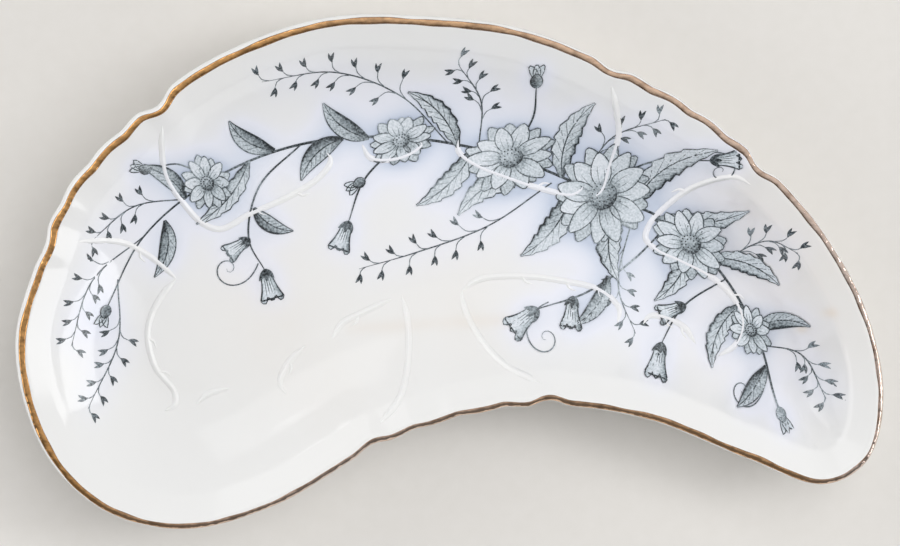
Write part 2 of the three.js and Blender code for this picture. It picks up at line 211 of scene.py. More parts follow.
# Lines of the print: width and tone, from 0 for the palest grey to 1 for full ink
PENS = dict(
    midrib=(0.28, 0.85), vein=(0.18, 0.66), shaded_edge=(0.32, 0.95), lit_edge=(0.24, 0.84),
    petal=(0.22, 0.82), petal_crease=(0.16, 0.6), bell=(0.3, 0.95), bell_rib=(0.18, 0.72),
    tuft=(0.22, 0.88), cup=(0.22, 0.95), grass=(0.26, 0.82), hair=(0.18, 0.7), tendril=(0.24, 0.78),
)
STALK_TONE = 0.88
HUSK_LENGTH = 1.7
HUSK_WIDTH = 0.62
DOT_RADIUS = 0.16
PETAL_SHADE_SIDE = np.array([0.75, -0.66])

# Stalks of the printed spray: line in plan and width
STALKS = [
    ([(64, -29), (61, -17), (54, -4), (43, 7), (29, 13), (12, 20), (-8, 24), (-28, 23), (-45, 16.5),
      (-58, 6), (-65, -7)], 0.5),
    ([(43, 7), (36, 0), (27, -6), (17, -9)], 0.38),
    ([(54, -4), (46, -9), (41, -16)], 0.36),
    ([(-28, 23), (-36, 15), (-38, 5), (-35, -1)], 0.36),
    ([(-8, 24), (-16, 16), (-19, 8)], 0.36),
    ([(29, 13), (38, 19), (49, 20)], 0.36),
    ([(12, 20), (16, 28), (16, 34)], 0.36),
    ([(-45, 16.5), (-52, 20), (-57, 19)], 0.32),
]

# Grasses: line, number of branches, their reach and a seed
GRASSES = [
    ([(0, 23), (-9, 32), (-22, 37), (-36, 35.5)], 13, 5.0, 1),
    ([(6, 22), (6, 31), (1, 38.5)], 9, 4.2, 2),
    ([(26, 15), (31, 24), (40, 28)], 9, 4.0, 3),
    ([(52, -2), (61, 4), (66, 2)], 9, 4.0, 4),
    ([(61, -17), (69, -19), (73, -27)], 9, 3.8, 5),
    ([(20, 15), (8, 7), (-6, 2), (-17, -1)], 12, 4.8, 6),
    ([(-58, 6), (-68, -2), (-72, -14)], 10, 4.2, 7),
    ([(-63, -2), (-63, -14), (-69, -26)], 10, 4.0, 8),
    ([(-50, 13), (-60, 12), (-68, 6)], 8, 3.6, 9),
    ([(36, 9), (33, -5), (36, -14)], 9, 4.0, 10),
]

# Tendrils: start, heading in degrees, size and the hand they curl to
TENDRILS = [
    ((20, -7.5), 200, 9, 1),
    ((-36, 1), 250, 8, -1),
    ((45, 19.5), 40, 8, -1),
    ((62, -24), 250, 7, -1),
]

# Leaves: base, tip, bow, width, depth of tone and number of teeth
LEAVES = [
    ((36, 10), (50, 22), 0.14, 5.2, 0.62, 7),
    ((40, 8), (57, 10), -0.12, 4.8, 0.7, 7),
    ((22, 16), (27, 31), 0.12, 4.8, 0.6, 7),
    ((18, 17), (2, 9), -0.14, 5.0, 0.66, 7),
    ((24, 14), (14, 1), 0.12, 5.0, 0.72, 7),
    ((34, 11), (33, -4), -0.16, 5.0, 0.7, 7),
    ((47, 4), (40, -8), 0.14, 4.2, 0.68, 7),
    ((51, 0), (64, -5), 0.12, 4.0, 0.62, 7),
    ((57, -9), (51, -21), -0.12, 4.0, 0.66, 7),
    ((60, -14), (70, -13), 0.14, 3.2, 1.1, 0),
    ((62, -21), (55, -28), 0.12, 3.2, 1.1, 0),
    ((5, 22), (-6, 11), 0.1, 4.2, 0.62, 7),
    ((2, 22), (-8, 33), -0.12, 4.0, 0.6, 7),
    ((-15, 24), (-24, 31), 0.12, 3.6, 1.1, 0),
    ((-20, 24), (-28, 16), -0.14, 3.6, 1.1, 0),
    ((-33, 22), (-42, 28), 0.14, 3.4, 1.1, 0),
    ((-38, 20), (-48, 8), 0.1, 3.6, 0.64, 7),
    ((-50, 13), (-59, 20), -0.12, 3.0, 1.1, 0),
    ((-54, 9), (-56, -2), 0.14, 3.0, 1.1, 0),
    ((31, -3), (24, -12), 0.14, 3.0, 1.1, 0),
    ((-37, 11), (-29.5, 6.5), -0.14, 2.8, 1.1, 0),
]

# Bells: neck, heading in degrees, length and width
BELLS = [
    ((17, -9), 215, 6.2, 5.0),
    ((24, -7), 262, 5.4, 4.4),
    ((41, -16), 250, 5.8, 4.8),
    ((46, -9), 200, 5.2, 4.2),
    ((-35, -1), 285, 5.6, 4.6),
    ((-38, 5), 215, 4.8, 4.0),
    ((-19, 8), 250, 5.4, 4.4),
    ((49, 20), 5, 5.0, 4.2),
]

# Buds: base, heading in degrees and length
BUDS = [
    ((16, 34), 95, 4.6),
    ((-57, 19), 160, 4.0),
    ((-65, -7), 250, 4.2),
    ((64, -29), 285, 4.2),
    ((-16, 16), 210, 4.0),
]

# Daisies: centre, radius, number of petals in a round, tilt in degrees and squash
DAISIES = [
    ((-9, 23.5), 7.0, 9, 20, 0.72),
    ((-46, 16), 6.2, 8, 120, 0.8),
    ((59, -14), 5.8, 8, -60, 0.72),
    ((47, 3), 8.4, 10, -40, 0.82),
    ((12, 20), 9.2, 10, 15, 0.78),
    ((30, 12.5), 10.6, 11, 60, 0.92),
]

# Camera: its distance from the place in the rim's plane that it aims at, its lean, the way it leans, and
# the pixels per millimetre there
CAMERA_DISTANCE = 752.4
CAMERA_LEAN = math.radians(10)
CAMERA_TOWARD = math.radians(135)
CAMERA_AIM = (-1.2, -0.4)
PIXELS_PER_MM = 5.327
IMAGE_WIDTH = 900
SENSOR_WIDTH = 36.0

# Stage, with its reach in metres, and room: the room's light rises from front to back, and what the
# gloss shows of it rises towards the lit part of the ceiling and back wall, between two places along
# that direction
STAGE_REACH = 3.0
ROOM_COLOUR = "#F2F1F0"
ROOM_LIGHT = (0.13, 0.31)
LIT_SIDE = (0.2, 0.9, 0.2)
LIT_RANGE = (-0.4, 0.9)
LIT_LIGHT = (0.17, 1.0)

# Lamps: azimuth and elevation in degrees, distance and size in metres, watts, and if the gloss shows it
LAMPS = [
    ("softbox_right", -9, 18, 0.9, (0.7, 0.33), 1.5, True),
    ("key_lamp", 12, 42, 1.0, (0.3, 0.3), 2.0, False),
    ("softbox_left", 168, 20, 1.0, (1.6, 0.62), 4.0, True),
    ("softbox_behind", 130, 38, 1.1, (0.8, 0.5), 0.8, True),
    ("softbox_high", 50, 68, 1.3, (1.0, 1.0), 7.9, False),
    ("front_fill", -90, 35, 1.1, (1.4, 0.9), 2.9, False),
    ("left_fill", 178, 15, 1.1, (1.0, 0.5), 1.7, False),
]

# Sockets of a Mix node that carry colours
MIX_SHARE, MIX_FROM, MIX_TO, MIXED = 0, 6, 7, 2

CREASE_HEIGHT = LIP_CREST - BAND_DROP
FLOOR_TOP = FOOT_HEIGHT + FLOOR_THICKNESS
BAND_SLOPE = math.atan2(BAND_DROP, BAND_WIDTH)
LIP_INSET = LIP_RADIUS * math.sin(BAND_SLOPE)
LIP_JOIN = LIP_CREST - LIP_RADIUS * (1 - math.cos(BAND_SLOPE))


def catmull_rom(points, per_span, closed=False):
    """Centripetal Catmull-Rom curve: a cubic on each span, with end slopes from the neighbouring points,
    weighted by the square roots of their distances."""
    points = np.asarray(points, float)
    if closed:
        p0, p1, p2, p3 = (np.roll(points, shift, axis=0) for shift in (1, 0, -1, -2))
    else:
        ends = np.vstack([2 * points[:1] - points[1:2], points, 2 * points[-1:] - points[-2:-1]])
        p0, p1, p2, p3 = ends[:-3], ends[1:-2], ends[2:-1], ends[3:]
    pairs = ((p0, p1), (p1, p2), (p2, p3))
    d0, d1, d2 = (np.sqrt(np.linalg.norm(b - a, axis=1))[:, None] for a, b in pairs)
    slope1 = ((p1 - p0) / d0 - (p2 - p0) / (d0 + d1) + (p2 - p1) / d1) * d1
    slope2 = ((p2 - p1) / d1 - (p3 - p1) / (d1 + d2) + (p3 - p2) / d2) * d1
    t = np.linspace(0, 1, per_span, endpoint=False)[None, :, None]
    p1, p2, slope1, slope2 = (a[:, None, :] for a in (p1, p2, slope1, slope2))
    squared = 3 * (p2 - p1) - 2 * slope1 - slope2
    cubed = 2 * (p1 - p2) + slope1 + slope2
    curve = (p1 + slope1 * t + squared * t**2 + cubed * t**3).reshape(-1, points.shape[1])
    return curve if closed else np.vstack([curve, points[-1:]])


def run_along(curve):
    """Distance along a curve from its start to each of its points."""
    return np.r_[0, np.cumsum(np.linalg.norm(np.diff(curve, axis=0), axis=1))]


def even_steps(curve, count):
    """The same curve at count points an equal length apart."""
    run = run_along(curve)
    wanted = np.linspace(0, run[-1], count)
    return np.stack([np.interp(wanted, run, curve[:, k]) for k in range(curve.shape[1])], axis=1)


def directions(curve):
    """Unit tangents of an open curve, and the same turned a quarter to the left."""
    tangent = np.gradient(curve, axis=0)
    tangent /= np.linalg.norm(tangent, axis=1)[:, None]
    return tangent, np.stack([-tangent[:, 1], tangent[:, 0]], axis=1)


def unit(angle):
    """Unit vectors in plan at the given angles."""
    return np.stack([np.cos(angle), np.sin(angle)], axis=-1)


def shares(rows, columns):
    """The way along a grid as a column from 0 to 1, and the way across it as a row from -1 to 1."""
    return np.linspace(0, 1, rows)[:, None], np.linspace(-1, 1, columns)[None]


# The drawn outline, stretched to the dish's length and width and centred
drawn = catmull_rom(OUTLINE, RIM_SAMPLES // len(OUTLINE), closed=True)
drawn_middle = (drawn.min(0) + drawn.max(0)) / 2
drawn_fit = (np.array([DISH_LENGTH, DISH_WIDTH]) - 2 * LIP_RADIUS) / (drawn.max(0) - drawn.min(0))


def placed(points):
    """Drawn points, moved and stretched as the outline is."""
    return (np.asarray(points, float) - drawn_middle) * drawn_fit


rim = placed(drawn)
rim_loop = np.vstack([rim, rim[:1]])
rim_run = run_along(rim_loop)
rim_length = rim_run[-1]
rim_tangent = np.roll(rim, -1, axis=0) - np.roll(rim, 1, axis=0)
rim_tangent /= np.linalg.norm(rim_tangent, axis=1)[:, None]
rim_outward = np.stack([-rim_tangent[:, 1], rim_tangent[:, 0]], axis=1)
spine = even_steps(catmull_rom(placed(SPINE), per_span=60), SPINE_SAMPLES)


def rim_share(point):
    """Share of the way round the rim that is nearest to a drawn point."""
    return rim_run[np.argmin(np.linalg.norm(rim - placed(point), axis=1))] / rim_length


def flute(share):
    """How far the lip stands out from its smooth line: an eased |sine|, less the mean of |sine|, on the
    fluted stretches, sunk by a cosine-squared dip at each notch."""
    wave, dip, sunk = np.zeros((3, len(share)))
    for start, end, depths in FLUTED:
        first = rim_share(start)
        span = (rim_share(end) - first) % 1
        along = ((share - first) % 1) / span
        swing = np.hypot(np.sin(np.pi * LOBES * along), LOBE_EASE) - 2 / np.pi
        wave = np.where(along <= 1, LOBE_RISE * swing, wave)
        for notch, depth in zip((first, first + span), depths):
            away = np.abs((share - notch + 0.5) % 1 - 0.5) * rim_length
            here = np.cos(np.pi / 2 * np.clip(away / NOTCH_REACH, 0, 1))**2
            dip += here
            sunk += depth * here
    return wave * (1 - dip) - sunk


def nearest_on_spine(points):
    """Nearest point of the spine's straight pieces to each given point."""
    a, step = spine[:-1], np.diff(spine, axis=0)
    t = np.einsum("ijk,jk->ij", points[:, None] - a[None], step) / (step**2).sum(1)
    foot = a[None] + np.clip(t, 0, 1)[..., None] * step[None]
    best = np.argmin(((points[:, None] - foot)**2).sum(2), axis=1)
    return foot[np.arange(len(points)), best]


def fluting(inset):
    """Share of a flute that is left at an inset: the square of a straight fall from the crest."""
    return np.clip(1 - np.maximum(inset, 0) / FLUTE_FADE, 0, 1)**2


class Columns:
    """Lines from the lip to the middle of the well: square to the rim as far as the crease, then
    straight to the nearest point of the spine."""

    def __init__(self, count):
        self.share = np.arange(count) / count
        run = self.share * rim_length
        loop_outward = np.vstack([rim_outward, rim_outward[:1]])
        self.crest = np.stack([np.interp(run, rim_run, rim_loop[:, k]) for k in (0, 1)], axis=1)
        self.outward = np.stack([np.interp(run, rim_run, loop_outward[:, k]) for k in (0, 1)], axis=1)
        self.outward /= np.linalg.norm(self.outward, axis=1)[:, None]
        self.wave = flute(self.share)
        self.crease = self.crest - BAND_WIDTH * self.outward
        self.middle = nearest_on_spine(self.crease)
        self.room = np.linalg.norm(self.middle - self.crease, axis=1)
        self.inward = (self.middle - self.crease) / self.room[:, None]
        self.reach = BAND_WIDTH + np.minimum(WALL_REACH - BAND_WIDTH, WELL_SHARE * self.room)

    def at(self, inset, z):
        """Points at a distance inside the crest, with the flute dying out towards the floor."""
        flare = self.wave * fluting(inset) - np.minimum(inset, BAND_WIDTH)
        run = np.maximum(inset - BAND_WIDTH, 0)
        plan = self.crest + flare[:, None] * self.outward + run[:, None] * self.inward
        return np.column_stack([plan, z])


def wall_height(share):
    """Height of the wall at a share of its reach: a power curve from the crease down to the floor."""
    return FLOOR_TOP + (CREASE_HEIGHT - FLOOR_TOP) * (1 - share)**WALL_CURVE


def sharp_height(inset, reach):
    """Upper face before easing: a straight band, then the wall and the level floor."""
    band = LIP_JOIN - (LIP_JOIN - CREASE_HEIGHT) * (inset - LIP_INSET) / (BAND_WIDTH - LIP_INSET)
    share = np.clip((inset - BAND_WIDTH) / (reach - BAND_WIDTH), 0, 1)
    return np.where(inset < BAND_WIDTH, band, wall_height(share))


def upper_height(inset, reach):
    """Upper face, eased by a cosine-squared average of its height a short way to each side."""
    offsets = np.linspace(-1, 1, EASE_SAMPLES)
    weights = np.cos(offsets * np.pi / 2.4)**2
    ease = np.minimum(CREASE_EASE, np.maximum(inset - LIP_INSET, 0))
    heights = [sharp_height(inset + ease * offset, reach) for offset in offsets]
    return np.average(heights, axis=0, weights=weights)


def wall_slope(share, reach):
    """Angle of the wall below level, from the slope of its power curve."""
    fall = CREASE_HEIGHT - FLOOR_TOP
    return np.arctan(fall * WALL_CURVE * (1 - share)**(WALL_CURVE - 1) / (reach - BAND_WIDTH))


def base_thickness(reach):
    """Thickness of the wall where its underside comes down to the flat base."""
    return (wall_height(BASE_SHARE) - FOOT_HEIGHT) / np.cos(wall_slope(BASE_SHARE, reach))


def base_inset(reach):
    """Inset at which the underside of the wall meets the flat base, measured square to the wall."""
    inset = BAND_WIDTH + (reach - BAND_WIDTH) * BASE_SHARE
    return inset - base_thickness(reach) * np.sin(wall_slope(BASE_SHARE, reach))


def grid_triangles(rows, columns, closed_rows=False, closed_columns=False):
    """Two triangles for each cell of a grid whose points are numbered along its rows."""
    i, j = np.meshgrid(np.arange(rows if closed_rows else rows - 1),
                       np.arange(columns if closed_columns else columns - 1), indexing="ij")
    a, b = i * columns + j, (i + 1) % rows * columns + j
    c, d = (i + 1) % rows * columns + (j + 1) % columns, i * columns + (j + 1) % columns
    halves = (np.stack([a, b, c], -1), np.stack([a, c, d], -1))
    return np.concatenate([half.reshape(-1, 3) for half in halves])


def closed_band(rings):
    """Points and triangles of a band whose last ring joins its first, given rings that run clockwise."""
    triangles = grid_triangles(len(rings), COLUMNS, closed_rows=True, closed_columns=True)
    return np.concatenate(rings), triangles[:, ::-1]


def signed_area(where, triangles):
    """Area of each triangle in plan, negative where its corners run clockwise."""
    a, b, c = (where[triangles[:, k]] for k in range(3))
    return ((b - a)[:, 0] * (c - a)[:, 1] - (b - a)[:, 1] * (c - a)[:, 0]) / 2


def make_piece(name, points, triangles, material, slot, attributes=None, replaces=()):
    """Puts computed points and triangles into a smooth mesh object that rides on the dish. Triangles
    that have a corner twice are left out."""
    triangles = np.asarray(triangles)
    whole = (np.diff(np.sort(triangles, axis=1), axis=1) > 0).all(axis=1)
    triangles = triangles[whole]
    mesh = bpy.data.meshes.new(name)
    mesh.vertices.add(len(points))
    mesh.vertices.foreach_set("co", (np.asarray(points) * METRES).ravel())
    mesh.loops.add(triangles.size)
    mesh.loops.foreach_set("vertex_index", triangles.ravel())
    mesh.polygons.add(len(triangles))
    mesh.polygons.foreach_set("loop_start", np.arange(0, triangles.size, 3))
    mesh.polygons.foreach_set("use_smooth", np.ones(len(triangles), bool))
    for label, values in (attributes or {}).items():
        mesh.attributes.new(label, "FLOAT", "POINT").data.foreach_set("value", np.asarray(values, float))
    mesh.update()
    mesh.validate()
    mesh.materials.append(material)
    piece = bpy.data.objects.new(name, mesh)
    bpy.context.scene.collection.objects.link(piece)
    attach(piece, "root")
    if replaces:
        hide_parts(*replaces)


dish = Columns(COLUMNS)


def lip_ring(angle, radius=LIP_RADIUS):
    """One ring on the round of the lip; angle 0 is its crest and positive angles lie inside."""
    angle = np.broadcast_to(angle, COLUMNS)
    return dish.at(radius * np.sin(angle), LIP_CREST - LIP_RADIUS + radius * np.cos(angle))


def floor_sag(w):
    """Sag of the floor, from none at its edge to FLOOR_SAG in the middle of the well."""
    return FLOOR_SAG * (1 - (1 - w)**2)


def dish_surface():
    """The glazed body as one closed skin. Rings run from the spine out across the floor, up the wall,
    over the lip, down the underside and in again to the spine; each end closes on shared points along
    the spine."""
    ones = np.ones(COLUMNS)
    rings = []
    for w in np.linspace(LAST_RING, 0, FLOOR_RINGS):
        inset = dish.reach + w * (BAND_WIDTH + dish.room - dish.reach)
        rings.append(dish.at(inset, upper_height(inset, dish.reach) - floor_sag(w)))
    for share in np.linspace(1, 0, WALL_RINGS)[1:]:
        inset = BAND_WIDTH + (dish.reach - BAND_WIDTH) * share
        rings.append(dish.at(inset, upper_height(inset, dish.reach)))
    for inset in np.linspace(BAND_WIDTH, LIP_INSET, BAND_RINGS)[1:-1]:
        rings.append(dish.at(inset * ones, upper_height(inset * ones, dish.reach)))
    rings += [lip_ring(angle) for angle in np.linspace(BAND_SLOPE, BAND_SLOPE - math.pi, LIP_RINGS)]
    for share in np.linspace(0, BASE_SHARE, UNDER_RINGS):
        slope = wall_slope(share, dish.reach)
        thicker = base_thickness(dish.reach) - WALL_THICKNESS
        thickness = WALL_THICKNESS + thicker * (share / BASE_SHARE)**2
        inset = BAND_WIDTH + (dish.reach - BAND_WIDTH) * share
        z = wall_height(share) - thickness * np.cos(slope)
        rings.append(dish.at(inset - thickness * np.sin(slope), z))
    base = base_inset(dish.reach)
    for w in np.linspace(0, LAST_RING, BASE_RINGS)[1:]:
        rings.append(dish.at(base + w * (BAND_WIDTH + dish.room - base), FOOT_HEIGHT * ones))
    count = len(rings)
    points = np.concatenate(rings)
    node = np.argmin(((dish.middle[:, None] - spine[None])**2).sum(2), axis=1)
    column, after = np.arange(COLUMNS), np.roll(np.arange(COLUMNS), -1)
    faces = [grid_triangles(count, COLUMNS, closed_columns=True)[:, ::-1]]
    last = (count - 1) * COLUMNS
    for first, offset, flip in ((0, len(points), 1), (last, len(points) + len(spine), -1)):
        fan = np.concatenate([
            np.stack([first + column, offset + node, offset + node[after]], -1),
            np.stack([first + column, offset + node[after], first + after], -1),
        ])
        faces.append(fan[:, ::flip])
    top_line = np.column_stack([spine, np.full(len(spine), FLOOR_TOP - FLOOR_SAG)])
    base_line = np.column_stack([spine, np.full(len(spine), FOOT_HEIGHT)])
    return np.concatenate([points, top_line, base_line]), np.concatenate(faces)


def gilt_band():
    """Gold over the crest: an arc just above the lip, closed below. It is laid by hand, so its edges
    wander as a brush line does, and it drifts inwards on the side that faces up and left, where the bare
    lip shows. Its edge tint is painted shade that grows as a cube from the middle of the line, and its
    rubbed tint is a painted sheen that follows the way the rim faces."""
    turn = 2 * np.pi * dish.share
    wander = sum(swing * np.sin(count * turn + start) for count, swing, start in EDGE_WAVES)
    drift = GILT_DRIFT * (dish.outward @ DRIFT_SIDE)
    inner = drift + GILT_INNER_ANGLE + wander
    outer = drift - GILT_OUTER_ANGLE + np.roll(wander, COLUMNS // 3)
    across = np.linspace(0, 1, 9)
    rise = GILT_RISE * (1 - (2 * across - 1)**6)
    above = [lip_ring(inner + (outer - inner) * t, LIP_RADIUS + up) for t, up in zip(across, rise)]
    below = [lip_ring(inner + (outer - inner) * t, LIP_RADIUS - GILT_RISE) for t in (1, 0.5, 0)]
    rings = above + below
    # Painted shade: the tint that browns the gold grows towards both edges of the line
    edge = np.repeat(np.r_[np.abs(2 * across - 1)**3, 1, 1, 1], COLUMNS)
    # Painted sheen: a paler tint where the rim faces the right-hand lamps, kept in the attribute named
    # rubbed
    rubbed = np.clip(SHEEN_MEAN + SHEEN_SWING * (dish.outward @ SHEEN_SIDE), 0, 1)
    return *closed_band(rings), {"edge": edge, "rubbed": np.tile(rubbed, len(rings))}


def foot_surface():
    """Foot ring: upright sides, standing edges rounded by quarter circles, and a flat top."""
    outer = base_inset(dish.reach) + FOOT_INSET
    turn = np.linspace(0, np.pi / 2, 5)
    outside = [(FOOT_ROUND * (1 - np.cos(a)), FOOT_ROUND * (1 - np.sin(a))) for a in turn]
    inside = [(FOOT_WIDTH - across, z) for across, z in reversed(outside)]
    profile = [(0, FOOT_HEIGHT), *outside, *inside, (FOOT_WIDTH, FOOT_HEIGHT)]
    return closed_band([dish.at(outer + across, np.full(COLUMNS, z)) for across, z in profile])


class HeightMap:
    """Height of the upper face on a square grid, worked out from the nearest column of each grid point
    and read back between the grid points by straight interpolation."""

    def __init__(self):
        self.low = LOW[:2]
        shape = np.ceil((HIGH - LOW)[:2] / MAP_STEP).astype(int) + 1
        x, y = (self.low[k] + MAP_STEP * np.arange(shape[k]) for k in (0, 1))
        where = np.stack(np.meshgrid(x, y, indexing="ij"), -1).reshape(-1, 2)
        parts = [self.measure(part) for part in np.array_split(where, MAP_PARTS)]
        self.z = np.concatenate(parts).reshape(shape)
        self.slope = np.stack(np.gradient(self.z, MAP_STEP), -1)

    def measure(self, where):
        """Height at plan points: each takes its inset from the column that passes nearest to it, on the
        band or on the straight run behind it."""
        flare = np.clip(((dish.crest[None] - where[:, None]) * dish.outward).sum(2), LIP_INSET, BAND_WIDTH)
        run = np.clip(((where[:, None] - dish.crease[None]) * dish.inward).sum(2), 0, dish.room)
        off_band = np.linalg.norm(dish.crest - flare[..., None] * dish.outward - where[:, None], axis=2)
        off_wall = np.linalg.norm(dish.crease + run[..., None] * dish.inward - where[:, None], axis=2)
        best = np.argmin(np.minimum(off_band, off_wall), axis=1)
        row = np.arange(len(where))
        on_band = off_band[row, best] < off_wall[row, best]
        inset = np.where(on_band, flare[row, best], BAND_WIDTH + run[row, best])
        level = inset + dish.wave[best] * fluting(inset)
        reach = dish.reach[best]
        w = np.clip((inset - reach) / (BAND_WIDTH + dish.room[best] - reach), 0, 1)
        return upper_height(level, reach) - floor_sag(w)

    def read(self, table, where):
        """Straight interpolation of a table on the grid."""
        cell = np.clip((where - self.low) / MAP_STEP, 0, np.array(self.z.shape) - 1.001)
        i, j = cell.astype(int).T
        u, v = (cell - cell.astype(int)).T
        if table.ndim == 3:
            u, v = u[:, None], v[:, None]
        return ((1 - u) * (1 - v) * table[i, j] + u * (1 - v) * table[i + 1, j]
                + (1 - u) * v * table[i, j + 1] + u * v * table[i + 1, j + 1])

    def drape(self, where, lift):
        """Points at a height above the face, measured square to it."""
        slope = self.read(self.slope, where)
        normal = np.column_stack([-slope, np.ones(len(where))])
        normal /= np.linalg.norm(normal, axis=1)[:, None]
        ground = np.column_stack([where, self.read(self.z, where)])
        return ground + normal * np.broadcast_to(lift, len(where))[:, None]


face = HeightMap()


def raised_line(curve, width, rise, tail_only=False):
    """A moulded line: a cosine-squared section, flush with the glaze at its edges, carried along a plan
    curve and closed below the glaze. It tapers as a power of the distance to its nearer end, or to its
    tail only."""
    _, left = directions(curve)
    share = np.linspace(0, 1, len(curve))
    from_end = 1 - share if tail_only else np.minimum(share, 1 - share)
    taper = np.clip(run_along(curve)[-1] * from_end / SCROLL_TAPER, 0, 1)**0.6
    size = SCROLL_TIP + (1 - SCROLL_TIP) * taper
    across = np.linspace(-1, 1, 11)
    top = rise * np.cos(across * np.pi / 2)**2
    # The root is closed by every third point of the section
    section = np.r_[across, across[-2:0:-3]]
    lift = np.r_[top, np.full(len(section) - len(across), -SCROLL_ROOT)]
    where = curve[:, None] + (section[None] * size[:, None] * width / 2)[..., None] * left[:, None]
    lifts = np.where(lift > 0, lift * size[:, None], lift)
    points = face.drape(where.reshape(-1, 2), lifts.ravel())
    rows, columns = len(curve), len(section)
    triangles = grid_triangles(rows, columns, closed_columns=True)
    middle = np.arange(1, columns - 1)
    cap = np.stack([np.zeros_like(middle), middle, middle + 1], -1)
    return points, np.concatenate([triangles, cap, cap[:, ::-1] + (rows - 1) * columns])


def thorn_line(curve, share, hand):
    """A thorn leaves its scroll at a slant and bends along with it."""
    place = int(share * (len(curve) - 1))
    tangent, left = directions(curve)
    along, across = tangent[place] * THORN_LENGTH, left[place] * hand * THORN_LENGTH
    root = curve[place]
    bend = [root, root + 0.5 * across + 0.35 * along, root + 0.65 * across + along]
    return even_steps(catmull_rom(bend, per_span=12), 10)


def joined(parts):
    """Several meshes of points and triangles as one."""
    starts = np.cumsum([0] + [len(points) for points, _ in parts])
    return (np.concatenate([points for points, _ in parts]),
            np.concatenate([triangles + start for (_, triangles), start in zip(parts, starts)]))


def scroll_relief():
    """All moulded scrolls, with the thorns on their left and right sides."""
    parts = []
    for scroll in SCROLLS:
        curve = catmull_rom(placed(scroll["line"]), per_span=40)
        curve = even_steps(curve, int(run_along(curve)[-1] / SCROLL_STEP))
        parts.append(raised_line(curve, SCROLL_WIDTH, SCROLL_RISE))
        for side, hand in (("left", 1), ("right", -1)):
            for share in scroll.get(side, []):
                thorn = thorn_line(curve, share, hand)
                parts.append(raised_line(thorn, THORN_WIDTH, THORN_RISE, tail_only=True))
    return joined(parts)


class PrintedDesign:
    """Ink shapes in plan, each a grid of points with a tone. A motif lies one layer above every earlier
    motif whose bounding circle it meets."""

    def __init__(self):
        self.shapes = []
        self.circles = []
        self.lift = INK_LIFT

    def motif(self, points):
        """Starts a motif that covers the given points and sets the height of its layer."""
        points = np.asarray(points, float).reshape(-1, 2)
        centre = (points.min(0) + points.max(0)) / 2
        radius = np.linalg.norm(points - centre, axis=1).max()
        below = [layer for place, size, layer in self.circles
                 if np.linalg.norm(place - centre) < size + radius]
        layer = max(below, default=-1) + 1
        self.circles.append((centre, radius, layer))
        self.lift = INK_LIFT + layer * LAYER_STEP

    def fill(self, grid, tone, raise_by=0.0):
        """One toned shape, or a stack of them, as grids of rows and columns of plan points."""
        grid = np.asarray(grid, float)
        grid = grid.reshape(-1, *grid.shape[-3:])
        count, rows, columns = grid.shape[:3]
        triangles = grid_triangles(rows, columns)
        triangles = (triangles[None] + (np.arange(count) * rows * columns)[:, None, None]).reshape(-1, 3)
        where = grid.reshape(-1, 2)
        turned = signed_area(where, triangles) < 0
        triangles[turned] = triangles[turned][:, ::-1]
        tone = np.broadcast_to(tone, grid.shape[:3]).reshape(-1)
        self.shapes.append((where, np.full(len(where), self.lift + raise_by), tone, triangles))

    def stroke(self, curve, pen, raise_by=2 * LINE_STEP, taper=(0.35, 0.35)):
        """A line drawn with a pen of some width and tone, which tapers towards its ends."""
        width, tone = pen
        curve = np.asarray(curve, float)
        curve = even_steps(curve, max(4, int(run_along(curve)[-1] / STROKE_STEP) + 1))
        _, left = directions(curve)
        t = np.linspace(0, 1, len(curve))
        start, end = (np.clip(x / 0.3, 0, 1) for x in (t, 1 - t))
        swell = (taper[0] + (1 - taper[0]) * start) * (taper[1] + (1 - taper[1]) * end)
        side = np.linspace(-0.5, 0.5, 3)
        grid = curve[:, None] + (side[None] * (width * swell)[:, None])[..., None] * left[:, None]
        self.fill(grid, tone, raise_by)

    def mesh(self):
        """All shapes draped on the face, with their tones."""
        lifts = np.concatenate([shape[1] for shape in self.shapes])
        where, triangles = joined([(shape[0], shape[3]) for shape in self.shapes])
        tone = np.concatenate([shape[2] for shape in self.shapes])
        return where, face.drape(where, lifts), triangles, np.clip(tone, 0, 1)


def blade(base, tip, bow, width, fullness=0.8, teeth=0, *, rows, columns):
    """Grid of a leaf or petal: its midline is bowed sideways as a parabola, and its half width is a sine
    of the way along, raised to fullness, and cut by a saw tooth if it has teeth."""
    base, tip = np.asarray(base, float), np.asarray(tip, float)
    t = np.linspace(0, 1, rows)
    across = np.array([base[1] - tip[1], tip[0] - base[0]])
    midline = base + t[:, None] * (tip - base) + (4 * bow * t * (1 - t))[:, None] * across
    _, left = directions(midline)
    half = width / 2 * np.sin(np.pi * np.clip(t, 0.02, 0.985)**0.85)**fullness
    if teeth:
        half = half * (1.08 - 0.3 * (teeth * t % 1))
    side = np.linspace(-1, 1, columns)
    return midline[:, None] + (half[:, None] * side[None])[..., None] * left[:, None]


def along_edges(grid):
    """The outline of a blade: up one edge and back down the other."""
    return np.concatenate([grid[:, 0], grid[::-1, -1]])


